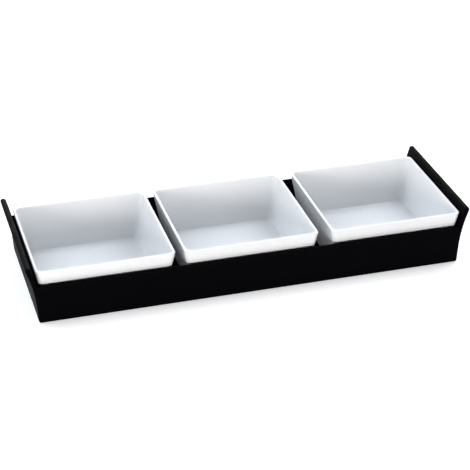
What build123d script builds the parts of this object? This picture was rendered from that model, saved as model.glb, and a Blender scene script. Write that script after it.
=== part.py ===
# Snack tray: one moulded black tray with low long walls and two flared ends, and three
# loose white square bowls that stand in it in a row and lift straight out.
# Millimetres, +Z up. The origin is the centre of the tray's footprint, at table level.
# +X runs along the tray to the right, and the front long wall is on the -Y side.
import os
from math import cos, radians, sin, sqrt

from build123d import *

# Bowls
bowl_size = 121.8  # outside of the square rim
bowl_height = 45.0
bowl_taper = 0.175  # how far each outer wall draws in, per mm of depth
bowl_inner_taper = 0.195  # the same inside, a little more, so that the walls thicken downwards
rim_wall = 2.4  # wall at the rim
bowl_corner = 4.6  # outside corner radius
bowl_inner_round = 4.6  # inside corners, and where the walls meet the floor
bowl_floor = 3.0
bowl_foot_recess = 0.5  # the bottom is hollowed, so that the bowl stands on a ring
bowl_foot_ring = 6.0  # width of that ring
bowl_base_bevel = 1.4
rim_round = 0.9

# Play and gaps in the row, measured between the rims
left_play = 1.7  # left bowl, where its side comes closest to the left end
left_gap = 7.4  # left bowl to the middle bowl
right_gap = 11.3  # middle bowl to the right bowl
right_play = 0.3  # right bowl, where its side comes closest to the right end
front_play = 2.3  # bowls to the front wall, at the top of that wall
back_play = 9.5  # bowls to the back wall, at the top of that wall

# Tray
long_wall_height = 35.8
long_wall = 2.6
wall_top_flat = 0.1  # left between the inner and outer rounding of the long walls' tops
end_wall = 3.8  # where the ends start to curve outwards
lip_land = 5.6  # top of the ends, before its edges are rounded
lip_roundness = 0.41  # radius of those edges, as a share of lip_land
lip_height = 54.0
lip_reach = 10.1  # how far the top corner stands out beyond the footprint, before it is rounded
end_lean = 3.7  # degrees: lean of the ends where they leave the table
bend_start = 14.6  # length of the straight part of the ends
tray_floor = 2.6
foot_recess = 0.6  # the underside is hollowed, so that the tray stands on a rim
foot_rim = 9.0  # width of that rim
foot_round = 2.2  # where the ends meet the underside
edge_round = 1.4  # all round the two long sides
inner_round = 3.0  # floor edges inside the tray

same_place = 0.01  # two points this close are taken as one

# Levels and widths that follow
floor_top = foot_recess + tray_floor
rim_height = floor_top + bowl_height
base_size = bowl_size - 2 * bowl_taper * bowl_height
size_at_wall_top = bowl_size - 2 * bowl_taper * (rim_height - long_wall_height)


def bend(start, end):
    # centre and radius of the arc that leaves start along the leaning wall and ends at end
    span = end - start
    radius = span.dot(span) / (2 * span.dot(lean_out))
    return start + lean_out * radius, radius


# Profile of the right end, measured out from the foot of its outer face
lean_up = Vector(sin(radians(end_lean)), cos(radians(end_lean)))
lean_out = Vector(cos(radians(end_lean)), -sin(radians(end_lean)))
outer_bend_foot = lean_up * bend_start
outer_tip = Vector(lip_reach, lip_height)
inner_bend_foot = outer_bend_foot - lean_out * end_wall
inner_tip = Vector(lip_reach - lip_land, lip_height)
inner_foot = inner_bend_foot - lean_up * ((inner_bend_foot.Y - floor_top) / lean_up.Y)
inner_centre, inner_radius = bend(inner_bend_foot, inner_tip)

# Reach of a bowl's rim beyond that foot, when the bowl's sloping side touches the curved end
slope = sqrt(1 + bowl_taper**2)
touching_reach = inner_centre.X - bowl_taper * (inner_centre.Y - rim_height) - slope * inner_radius

# The tray is as long and as deep as the row of bowls and its play ask for
row_length = 3 * bowl_size + left_play + left_gap + right_gap + right_play
foot_half_length = row_length / 2 - touching_reach
inner_depth = size_at_wall_top + front_play + back_play
tray_depth = inner_depth + 2 * long_wall

# Centres of the bowls
bowl_y = (front_play - back_play) / 2
left_bowl_x = -row_length / 2 + left_play + bowl_size / 2
middle_bowl_x = left_bowl_x + bowl_size + left_gap
right_bowl_x = middle_bowl_x + bowl_size + right_gap


def tapered_block(top_size, height, taper):
    # square block with its top at level 0, drawn in on each side by taper, per mm of depth
    inset = taper * height
    far = top_size - inset
    wide_end_up = (-90, 0, 0)
    top_at_zero = (Align.CENTER, Align.MIN, Align.CENTER)
    return Wedge(top_size, height, top_size, inset, inset, far, far, wide_end_up, top_at_zero)


def bowl():
    outside = tapered_block(bowl_size, bowl_height, bowl_taper)
    outside = fillet(outside.edges().group_by(Axis.Z)[1], bowl_corner)
    outside = chamfer(outside.edges().group_by(Axis.Z)[0], bowl_base_bevel)

    depth = bowl_height - bowl_foot_recess - bowl_floor
    inside = tapered_block(bowl_size - 2 * rim_wall, depth, bowl_inner_taper)
    levels = inside.edges().group_by(Axis.Z)
    floor_edges = levels[0]
    corner_edges = levels[1]
    inside = fillet(floor_edges + corner_edges, bowl_inner_round)

    hollow_size = base_size - 2 * bowl_foot_ring
    hollow = extrude(RectangleRounded(hollow_size, hollow_size, bowl_corner), bowl_foot_recess)
    shell = outside - inside - Pos(0, 0, -bowl_height) * hollow
    shell = fillet(shell.edges().group_by(Axis.Z)[-1], rim_round)
    return Pos(0, 0, bowl_height) * shell


def inner_face(height):
    # point on the curved inner face of the right end
    reach = inner_centre.X - sqrt(inner_radius**2 - (height - inner_centre.Y) ** 2)
    return Vector(foot_half_length + reach, height)


def whole_length(right_half, depth):
    half = extrude(Plane.XZ * make_face(Curve() + right_half), depth / 2, both=True)
    return half + mirror(half, Plane.YZ)


def cross_edges(solid):
    # edges that run from front to back, in groups from the lowest level up
    return solid.edges().filter_by(Axis.Y).group_by(Axis.Z)


def is_inner_wall_top(edge):
    middle = edge.center()
    at_top = abs(middle.Z - long_wall_height) < same_place
    return at_top and abs(abs(middle.Y) - inner_depth / 2) < same_place


def tray():
    foot = Vector(foot_half_length, 0)
    wall_end = inner_face(long_wall_height)
    wall_middle = Vector(0, long_wall_height)

    # Everything inside the outer faces, open above the long walls
    outline = [
        Line((0, 0), foot),
        Line(foot, foot + outer_bend_foot),
        TangentArc(foot + outer_bend_foot, foot + outer_tip, tangent=lean_up),
        Line(foot + outer_tip, foot + inner_tip),
        ThreePointArc(foot + inner_tip, inner_face((long_wall_height + lip_height) / 2), wall_end),
        Line(wall_end, wall_middle),
        Line(wall_middle, (0, 0)),
    ]
    body = whole_length(outline, tray_depth)
    body = fillet(cross_edges(body)[0], foot_round)
    body = fillet(cross_edges(body)[-1], lip_roundness * lip_land)
    body = fillet(body.faces().filter_by(Axis.Y).edges(), edge_round)

    # The space for the bowls
    floor_middle = Vector(0, floor_top)
    low_point = inner_face((inner_bend_foot.Y + long_wall_height) / 2)
    outline = [
        Line(floor_middle, foot + inner_foot),
        Line(foot + inner_foot, foot + inner_bend_foot),
        ThreePointArc(foot + inner_bend_foot, low_point, wall_end),
        Line(wall_end, wall_middle),
        Line(wall_middle, floor_middle),
    ]
    space = whole_length(outline, inner_depth)
    space = fillet(space.edges().group_by(Axis.Z)[0], inner_round)

    hollow_length = 2 * (foot_half_length - foot_rim)
    hollow_depth = tray_depth - 2 * foot_rim
    hollow = extrude(RectangleRounded(hollow_length, hollow_depth, inner_round), foot_recess)
    shell = body - space - hollow

    # Round the inner edge of the long walls' tops as well
    inner_edges = shell.edges().filter_by(Axis.X).filter_by(is_inner_wall_top)
    return fillet(inner_edges, long_wall - edge_round - wall_top_flat)


def main():
    os.makedirs("parts", exist_ok=True)
    bowl_in_tray = Pos(0, bowl_y, floor_top) * bowl()
    nodes = {
        "tray": tray(),
        "bowl_left": Pos(left_bowl_x, 0, 0) * bowl_in_tray,
        "bowl_middle": Pos(middle_bowl_x, 0, 0) * bowl_in_tray,
        "bowl_right": Pos(right_bowl_x, 0, 0) * bowl_in_tray,
    }
    for name, solid in nodes.items():
        export_step(solid, f"parts/{name}.step")
        box = solid.bounding_box()
        print(name, solid.is_valid, len(solid.solids()), round(solid.volume), box.min, box.max)


main()
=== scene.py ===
# Black serving tray with three loose white square bowls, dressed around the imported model.
import bpy
from math import atan, cos, degrees, radians, sin
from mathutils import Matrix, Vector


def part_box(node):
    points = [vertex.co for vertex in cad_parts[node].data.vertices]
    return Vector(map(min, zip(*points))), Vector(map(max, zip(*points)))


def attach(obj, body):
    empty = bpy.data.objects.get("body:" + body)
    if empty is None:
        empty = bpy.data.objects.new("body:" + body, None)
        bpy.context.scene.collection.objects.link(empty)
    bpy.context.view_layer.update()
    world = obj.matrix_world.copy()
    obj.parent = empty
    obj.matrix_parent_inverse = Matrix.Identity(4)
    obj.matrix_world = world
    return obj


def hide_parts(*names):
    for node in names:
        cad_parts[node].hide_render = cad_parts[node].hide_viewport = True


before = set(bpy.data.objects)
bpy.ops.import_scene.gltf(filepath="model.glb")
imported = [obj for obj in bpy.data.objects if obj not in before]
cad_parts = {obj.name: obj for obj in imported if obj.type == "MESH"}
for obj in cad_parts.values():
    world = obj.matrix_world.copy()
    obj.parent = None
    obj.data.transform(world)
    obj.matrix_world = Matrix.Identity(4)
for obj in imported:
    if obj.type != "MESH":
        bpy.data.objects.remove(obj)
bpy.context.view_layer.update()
print("Frame loaded:", ", ".join(sorted(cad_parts)))

bowlNames = ["bowl_left", "bowl_middle", "bowl_right"]
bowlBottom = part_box(bowlNames[0])[0].z

scene = bpy.context.scene
scene.view_settings.view_transform = "Standard"


# Camera

photoCamera = {
    "place": (-0.3518, -1.21408, 0.71499),
    "tiltUp": -28.76,     # degrees from level
    "turnLeft": -16.21,   # degrees from looking straight along +Y
    "lens": 121.79,
    "sensor": 36.0,
}


def addCamera():
    data = bpy.data.cameras.new("photo_camera")
    data.lens = photoCamera["lens"]
    data.sensor_width = photoCamera["sensor"]
    camera = bpy.data.objects.new("photo_camera", data)
    camera.location = photoCamera["place"]
    tilt = radians(90 + photoCamera["tiltUp"])
    turn = radians(photoCamera["turnLeft"])
    camera.rotation_euler = (tilt, 0, turn)
    scene.collection.objects.link(camera)
    scene.camera = camera


addCamera()
print("Camera placed")


# Material helpers

def addSocket(group, name, kind, inOut, value=None):
    socket = group.interface.new_socket(name=name, in_out=inOut, socket_type=kind)
    if value is not None:
        socket.default_value = value


def newMaterial(name):
    material = bpy.data.materials.new(name)
    material.use_nodes = True
    material.node_tree.nodes.clear()
    return material, material.node_tree.nodes, material.node_tree.links


def addNode(nodes, kind, place, **settings):
    node = nodes.new(kind)
    node.location = place
    for name, value in settings.items():
        setattr(node, name, value)
    return node


# Finish drift: the slow change of colour and gloss over a moulded or glazed surface, and its ripple

driftForm = {
    "cloudDetail": 3.0,
    "speckDetail": 2.0,
    "speckFineness": 4.0,        # specks of gloss for each cloud of colour
    "speckRange": (0.3, 0.7),    # stretch of the noise that spans the two roughnesses
    "rippleDetail": 1.0,
}


def buildFinishDrift():
    group = bpy.data.node_groups.new("finishDrift", "ShaderNodeTree")
    addSocket(group, "Scale", "NodeSocketFloat", "INPUT", 20.0)
    addSocket(group, "Dark Colour", "NodeSocketColor", "INPUT", (0.0, 0.0, 0.0, 1.0))
    addSocket(group, "Light Colour", "NodeSocketColor", "INPUT", (1.0, 1.0, 1.0, 1.0))
    addSocket(group, "Low Roughness", "NodeSocketFloat", "INPUT", 0.1)
    addSocket(group, "High Roughness", "NodeSocketFloat", "INPUT", 0.2)
    addSocket(group, "Ripple Scale", "NodeSocketFloat", "INPUT", 200.0)
    addSocket(group, "Colour", "NodeSocketColor", "OUTPUT")
    addSocket(group, "Roughness", "NodeSocketFloat", "OUTPUT")
    addSocket(group, "Ripple", "NodeSocketFloat", "OUTPUT")

    nodes, links = group.nodes, group.links
    given = addNode(nodes, "NodeGroupInput", (-800, 0))
    out = addNode(nodes, "NodeGroupOutput", (500, 0))
    place = addNode(nodes, "ShaderNodeTexCoord", (-800, 300))
    clouds = addNode(nodes, "ShaderNodeTexNoise", (-500, 250))
    clouds.inputs["Detail"].default_value = driftForm["cloudDetail"]
    specks = addNode(nodes, "ShaderNodeTexNoise", (-500, -50))
    specks.inputs["Detail"].default_value = driftForm["speckDetail"]
    finer = addNode(nodes, "ShaderNodeMath", (-680, -120), operation="MULTIPLY")
    finer.inputs[1].default_value = driftForm["speckFineness"]
    colour = addNode(nodes, "ShaderNodeMix", (100, 250), data_type="RGBA")
    gloss = addNode(nodes, "ShaderNodeMapRange", (100, 0))
    gloss.inputs["From Min"].default_value = driftForm["speckRange"][0]
    gloss.inputs["From Max"].default_value = driftForm["speckRange"][1]
    ripple = addNode(nodes, "ShaderNodeTexNoise", (100, -280))
    ripple.inputs["Detail"].default_value = driftForm["rippleDetail"]

    for texture in (clouds, specks, ripple):
        links.new(place.outputs["Object"], texture.inputs["Vector"])
    links.new(given.outputs["Scale"], clouds.inputs["Scale"])
    links.new(given.outputs["Scale"], finer.inputs[0])
    links.new(finer.outputs[0], specks.inputs["Scale"])
    links.new(given.outputs["Ripple Scale"], ripple.inputs["Scale"])
    links.new(clouds.outputs["Fac"], colour.inputs["Factor"])
    links.new(given.outputs["Dark Colour"], colour.inputs["A"])
    links.new(given.outputs["Light Colour"], colour.inputs["B"])
    links.new(specks.outputs["Fac"], gloss.inputs["Value"])
    links.new(given.outputs["Low Roughness"], gloss.inputs["To Min"])
    links.new(given.outputs["High Roughness"], gloss.inputs["To Max"])
    links.new(colour.outputs["Result"], out.inputs["Colour"])
    links.new(gloss.outputs["Result"], out.inputs["Roughness"])
    links.new(ripple.outputs["Fac"], out.inputs["Ripple"])
    return group


finishDrift = buildFinishDrift()


def placeDrift(nodes, look, place):
    drift = addNode(nodes, "ShaderNodeGroup", place, node_tree=finishDrift)
    drift.inputs["Scale"].default_value = look["scale"]
    drift.inputs["Dark Colour"].default_value = (*look["dark"], 1.0)
    drift.inputs["Light Colour"].default_value = (*look["light"], 1.0)
    drift.inputs["Low Roughness"].default_value = look["roughness"][0]
    drift.inputs["High Roughness"].default_value = look["roughness"][1]
    drift.inputs["Ripple Scale"].default_value = look["rippleScale"]
    return drift


def addRipple(nodes, links, drift, look, shader, place):
    bump = addNode(nodes, "ShaderNodeBump", place)
    bump.inputs["Strength"].default_value = look["rippleStrength"]
    bump.inputs["Distance"].default_value = look["rippleHeight"]
    links.new(drift.outputs["Ripple"], bump.inputs["Height"])
    links.new(bump.outputs["Normal"], shader.inputs["Normal"])


# Tray: satin black moulding

trayLook = {
    "dark": (0.0002, 0.0002, 0.0004),
    "light": (0.0008, 0.0008, 0.0011),
    "scale": 14.0,
    "roughness": (0.48, 0.6),
    "specular": 0.017,
    "specularTint": (0.92, 0.88, 1.0),
    "rippleScale": 120.0,
    "rippleStrength": 0.25,
    "rippleHeight": 0.00006,
}


def makeTrayBlack():
    material, nodes, links = newMaterial("tray_satin_black")
    out = addNode(nodes, "ShaderNodeOutputMaterial", (500, 0))
    shader = addNode(nodes, "ShaderNodeBsdfPrincipled", (200, 0))
    drift = placeDrift(nodes, trayLook, (-300, 0))
    shader.inputs["Specular IOR Level"].default_value = trayLook["specular"]
    shader.inputs["Specular Tint"].default_value = (*trayLook["specularTint"], 1.0)
    links.new(drift.outputs["Colour"], shader.inputs["Base Color"])
    links.new(drift.outputs["Roughness"], shader.inputs["Roughness"])
    addRipple(nodes, links, drift, trayLook, shader, (-50, -250))
    links.new(shader.outputs["BSDF"], out.inputs["Surface"])
    return material


# Bowls: white glaze, with a dry ring where they stand

bowlLook = {
    "dark": (0.775, 0.787, 0.803),
    "light": (0.81, 0.82, 0.833),
    "scale": 16.0,
    "roughness": (0.1, 0.17),
    "rippleScale": 70.0,
    "rippleStrength": 0.3,
    "rippleHeight": 0.00008,
    "dryColour": (0.74, 0.72, 0.68),
    "dryRoughness": 0.75,
    "dryHeight": (0.00015, 0.0003),   # bare up to the first, glazed from the second, in metres
}


def makeBowlWhite():
    material, nodes, links = newMaterial("bowl_white_glaze")
    out = addNode(nodes, "ShaderNodeOutputMaterial", (700, 0))
    shader = addNode(nodes, "ShaderNodeBsdfPrincipled", (400, 0))
    drift = placeDrift(nodes, bowlLook, (-400, 100))

    place = addNode(nodes, "ShaderNodeTexCoord", (-800, -250))
    split = addNode(nodes, "ShaderNodeSeparateXYZ", (-600, -250))
    dry = addNode(nodes, "ShaderNodeMapRange", (-400, -250))
    bareTo, glazedFrom = bowlLook["dryHeight"]
    dry.inputs["From Min"].default_value = bowlBottom + glazedFrom
    dry.inputs["From Max"].default_value = bowlBottom + bareTo
    links.new(place.outputs["Object"], split.inputs["Vector"])
    links.new(split.outputs["Z"], dry.inputs["Value"])

    colour = addNode(nodes, "ShaderNodeMix", (0, 200), data_type="RGBA")
    colour.inputs["B"].default_value = (*bowlLook["dryColour"], 1.0)
    links.new(dry.outputs["Result"], colour.inputs["Factor"])
    links.new(drift.outputs["Colour"], colour.inputs["A"])
    links.new(colour.outputs["Result"], shader.inputs["Base Color"])

    gloss = addNode(nodes, "ShaderNodeMix", (0, -50), data_type="FLOAT")
    gloss.inputs["B"].default_value = bowlLook["dryRoughness"]
    links.new(dry.outputs["Result"], gloss.inputs["Factor"])
    links.new(drift.outputs["Roughness"], gloss.inputs["A"])
    links.new(gloss.outputs["Result"], shader.inputs["Roughness"])

    addRipple(nodes, links, drift, bowlLook, shader, (150, -300))
    links.new(shader.outputs["BSDF"], out.inputs["Surface"])
    return material


def dress(nodeName, material):
    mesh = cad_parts[nodeName].data
    if not mesh.materials:
        mesh.materials.append(material)
    for index in range(len(mesh.materials)):
        mesh.materials[index] = material


dress("tray", makeTrayBlack())
print("Tray finished")


# Bowl forms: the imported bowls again, finer, with the crisp crease round the floor

bowlForm = {   # in metres, heights from the rim down
    "size": 0.1218,          # square that the outer walls reach at the top
    "height": 0.045,
    "wall": 0.0024,
    "outerTaper": 0.175,     # how far a wall draws in, for each metre down
    "innerTaper": 0.195,
    "corner": 0.0046,
    "floor": 0.0035,         # inside floor above the bottom of the foot ring
    "rimRound": 0.0009,
    "floorRound": 0.0013,
    "baseRound": 0.0016,
    "footRing": 0.006,
    "footRecess": 0.0005,
    "cornerSteps": 10,
    "roundSteps": 5,
}

# Which way the profile faces, in degrees: 0 is outwards
facingUp = 90
facingDown = -90
facingIn = 180


def turnStations(centre, radius, start, end, hollow, cornerCentre):
    # stations along one rounded edge; each is half size, corner radius, height and facing
    stations = []
    steps = bowlForm["roundSteps"]
    for step in range(steps + 1):
        facing = start + (end - start) * step / steps
        side = -radius if hollow else radius
        half = centre[0] + side * cos(radians(facing))
        height = centre[1] + side * sin(radians(facing))
        stations.append((half, half - cornerCentre, height, facing))
    return stations


def bowlStations():
    # the profile from the middle of the underside, up the outside, over the rim and to the floor
    outerLean = atan(bowlForm["outerTaper"])
    innerLean = atan(bowlForm["innerTaper"])
    outerFacing = -degrees(outerLean)
    innerFacing = facingIn - degrees(innerLean)
    outerTop = bowlForm["size"] / 2
    innerTop = outerTop - bowlForm["wall"]
    bottom = -bowlForm["height"]
    corner = bowlForm["corner"]

    def outerCentre(radius, height):
        return outerTop + (sin(outerLean) * height - radius) / cos(outerLean)

    def innerCentre(radius, height):
        return innerTop + (sin(innerLean) * height + radius) / cos(innerLean)

    # Foot
    hollowHalf = outerTop - bowlForm["outerTaper"] * bowlForm["height"] - bowlForm["footRing"]
    hollowHeight = bottom + bowlForm["footRecess"]
    stations = [
        (hollowHalf, corner, hollowHeight, facingDown),
        (hollowHalf, corner, hollowHeight, facingIn),
        (hollowHalf, corner, bottom, facingIn),
        (hollowHalf, corner, bottom, facingDown),
    ]
    radius = bowlForm["baseRound"]
    centre = (outerCentre(radius, bottom + radius), bottom + radius)
    cornerCentre = centre[0] + radius * cos(outerLean) - corner
    stations += turnStations(centre, radius, facingDown, outerFacing, False, cornerCentre)

    # Rim
    radius = bowlForm["rimRound"]
    centre = (outerCentre(radius, -radius), -radius)
    cornerCentre = centre[0] + radius * cos(outerLean) - corner
    stations += turnStations(centre, radius, outerFacing, facingUp, False, cornerCentre)
    centre = (innerCentre(radius, -radius), -radius)
    cornerCentre = centre[0] - radius * cos(innerLean) - corner
    stations += turnStations(centre, radius, facingUp, innerFacing, False, cornerCentre)

    # Inside floor edge
    radius = bowlForm["floorRound"]
    floorHeight = bottom + bowlForm["floor"]
    centre = (innerCentre(-radius, floorHeight + radius), floorHeight + radius)
    cornerCentre = centre[0] + radius * cos(innerLean) - corner
    stations += turnStations(centre, radius, innerFacing, facingUp, True, cornerCentre)
    return stations


def ringAngles(quarter):
    # the way each point round one corner of the ring faces
    steps = bowlForm["cornerSteps"]
    return [radians(90 * (quarter + step / steps)) for step in range(steps + 1)]


def squareRing(half, corner):
    # points round a square with rounded corners
    ring = []
    reach = (half - corner) / cos(radians(45))
    for quarter in range(4):
        middle = radians(90 * quarter + 45)
        for angle in ringAngles(quarter):
            x = reach * cos(middle) + corner * cos(angle)
            y = reach * sin(middle) + corner * sin(angle)
            ring.append((x, y))
    return ring


def bowlSurface(middleX, middleY, top):
    # points, faces, and the normal at each face's corners in turn
    stations = bowlStations()
    facings = [angle for quarter in range(4) for angle in ringAngles(quarter)]
    count = len(facings)
    points, rings, faces, normals = [], [], [], []

    for index, (half, corner, height, _) in enumerate(stations):
        samePlace = index > 0 and stations[index - 1][:3] == (half, corner, height)
        if samePlace:
            rings.append(rings[-1])
            continue
        rings.append(len(points))
        ring = squareRing(half, corner)
        points += [(middleX + x, middleY + y, top + height) for x, y in ring]

    def normalAt(index, place):
        facing = radians(stations[index][3])
        angle = facings[place]
        return cos(angle) * cos(facing), sin(angle) * cos(facing), sin(facing)

    for index in range(len(stations) - 1):
        first, second = rings[index], rings[index + 1]
        if first == second:
            continue
        for place in range(count):
            after = (place + 1) % count
            faces.append((first + place, first + after, second + after, second + place))
            normals += [normalAt(index, place), normalAt(index, after)]
            normals += [normalAt(index + 1, after), normalAt(index + 1, place)]

    # Underside and floor
    faces.append([rings[0] + place for place in reversed(range(count))])
    normals += [(0, 0, -1)] * count
    faces.append([rings[-1] + place for place in range(count)])
    normals += [(0, 0, 1)] * count
    return points, faces, normals


def buildBowl(nodeName, material):
    low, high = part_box(nodeName)
    middleX, middleY = (low.x + high.x) / 2, (low.y + high.y) / 2
    points, faces, normals = bowlSurface(middleX, middleY, high.z)
    mesh = bpy.data.meshes.new(nodeName + "_glazed")
    mesh.from_pydata(points, [], faces)
    mesh.polygons.foreach_set("use_smooth", [True] * len(mesh.polygons))
    mesh.normals_split_custom_set(normals)
    mesh.materials.append(material)
    bowl = bpy.data.objects.new(nodeName + "_glazed", mesh)
    scene.collection.objects.link(bowl)
    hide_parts(nodeName)
    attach(bowl, nodeName)   # each bowl is a body of its own, under the same name


bowlWhite = makeBowlWhite()
for bowlName in bowlNames:
    dress(bowlName, bowlWhite)
    buildBowl(bowlName, bowlWhite)
print("Bowls built and finished:", len(bowlNames))


# Floor and studio light

studio = {
    "floorSize": 8.0,
    "floorColour": 0.8,
    "floorGlow": (0.48, 1.0),    # to the eye and in reflections, near the tray and far from it
    "floorReach": (0.6, 1.7),    # where near ends and where far begins, in metres
    "skyFill": 0.02,             # light that the surroundings shed on the object
    "skyColour": (1.0, 1.0, 1.0),
}

lamps = {
    "leftSteep": {
        "place": (-0.8, 0.25, 1.1),
        "size": (0.8, 0.8),
        "power": 9.4,
        "colour": (0.87, 0.935, 1),
    },
    "rightSteep": {
        "place": (0.8, 0.3, 1.1),
        "size": (0.8, 0.8),
        "power": 13.2,
        "colour": (0.9, 0.945, 1),
    },
    "leftBack": {
        "place": (-1.3, 0.6, 0.7),
        "size": (0.9, 0.6),
        "power": 2.0,
        "colour": (0.7, 0.85, 1),
    },
    "frontLow": {
        "place": (0.1, -1.6, 0.25),
        "size": (1.8, 0.4),
        "power": 14.4,
        "colour": (1, 0.975, 0.945),
    },
    "frontLeftLow": {
        "place": (-1.1, -1.2, 0.22),
        "size": (1.0, 0.35),
        "power": 12.1,
        "colour": (1, 0.95, 0.925),
    },
    "backHigh": {
        "place": (0.0, 1.2, 0.9),
        "size": (1.4, 0.8),
        "power": 6.6,
        "colour": (1, 0.99, 0.97),
    },
    "backLow": {
        "place": (0.2, 1.6, 0.5),
        "size": (1.6, 0.5),
        "power": 9.8,
        "colour": (0.98, 0.985, 1),
    },
}


def seenDirectly(nodes, links, place):
    # 1 for camera, glossy and transmission rays, otherwise 0
    path = addNode(nodes, "ShaderNodeLightPath", place)
    first = addNode(nodes, "ShaderNodeMath", (place[0] + 200, place[1]), operation="MAXIMUM")
    second = addNode(nodes, "ShaderNodeMath", (place[0] + 400, place[1]), operation="MAXIMUM")
    links.new(path.outputs["Is Camera Ray"], first.inputs[0])
    links.new(path.outputs["Is Glossy Ray"], first.inputs[1])
    links.new(first.outputs[0], second.inputs[0])
    links.new(path.outputs["Is Transmission Ray"], second.inputs[1])
    return second


def makeFloorPale():
    material, nodes, links = newMaterial("floor_pale")
    out = addNode(nodes, "ShaderNodeOutputMaterial", (600, 0))
    both = addNode(nodes, "ShaderNodeAddShader", (400, 0))
    matt = addNode(nodes, "ShaderNodeBsdfDiffuse", (200, 100))
    pale = studio["floorColour"]
    matt.inputs["Color"].default_value = (pale, pale, pale, 1.0)
    glow = addNode(nodes, "ShaderNodeEmission", (200, -100))

    # The glow rises with distance from the tray, so that the far floor is white in low views too
    place = addNode(nodes, "ShaderNodeTexCoord", (-700, -350))
    distance = addNode(nodes, "ShaderNodeVectorMath", (-500, -350), operation="LENGTH")
    level = addNode(nodes, "ShaderNodeMapRange", (-250, -350), interpolation_type="SMOOTHSTEP")
    level.inputs["From Min"].default_value = studio["floorReach"][0]
    level.inputs["From Max"].default_value = studio["floorReach"][1]
    level.inputs["To Min"].default_value = studio["floorGlow"][0]
    level.inputs["To Max"].default_value = studio["floorGlow"][1]
    links.new(place.outputs["Object"], distance.inputs[0])
    links.new(distance.outputs["Value"], level.inputs["Value"])

    amount = addNode(nodes, "ShaderNodeMath", (0, -100), operation="MULTIPLY")
    links.new(seenDirectly(nodes, links, (-700, -100)).outputs[0], amount.inputs[0])
    links.new(level.outputs["Result"], amount.inputs[1])
    links.new(amount.outputs[0], glow.inputs["Strength"])
    links.new(matt.outputs["BSDF"], both.inputs[0])
    links.new(glow.outputs["Emission"], both.inputs[1])
    links.new(both.outputs["Shader"], out.inputs["Surface"])
    return material


def addFloor():
    half = studio["floorSize"] / 2
    corners = [(-half, -half, 0), (half, -half, 0), (half, half, 0), (-half, half, 0)]
    mesh = bpy.data.meshes.new("floor")
    mesh.from_pydata(corners, [], [(0, 1, 2, 3)])
    floor = bpy.data.objects.new("floor", mesh)
    scene.collection.objects.link(floor)
    mesh.materials.append(makeFloorPale())


def addLamp(name, lamp):
    data = bpy.data.lights.new(name, "AREA")
    data.shape = "RECTANGLE"
    data.size, data.size_y = lamp["size"]
    data.energy = lamp["power"]
    data.color = lamp["colour"]
    softbox = bpy.data.objects.new(name, data)
    softbox.location = lamp["place"]
    softbox.rotation_euler = (-softbox.location).to_track_quat("-Z", "Y").to_euler()
    scene.collection.objects.link(softbox)


def lightWorld():
    world = bpy.data.worlds.new("studio")
    scene.world = world
    world.use_nodes = True
    nodes, links = world.node_tree.nodes, world.node_tree.links
    nodes.clear()
    out = addNode(nodes, "ShaderNodeOutputWorld", (600, 0))
    background = addNode(nodes, "ShaderNodeBackground", (400, 0))
    level = addNode(nodes, "ShaderNodeMapRange", (200, 0))
    level.inputs["To Min"].default_value = studio["skyFill"]
    level.inputs["To Max"].default_value = 1.0
    links.new(seenDirectly(nodes, links, (-600, 0)).outputs[0], level.inputs["Value"])
    links.new(level.outputs["Result"], background.inputs["Strength"])
    background.inputs["Color"].default_value = (*studio["skyColour"], 1.0)
    links.new(background.outputs["Background"], out.inputs["Surface"])


addFloor()
lightWorld()
for lampName, lamp in lamps.items():
    addLamp(lampName + "_softbox", lamp)
print("Floor and studio light added")
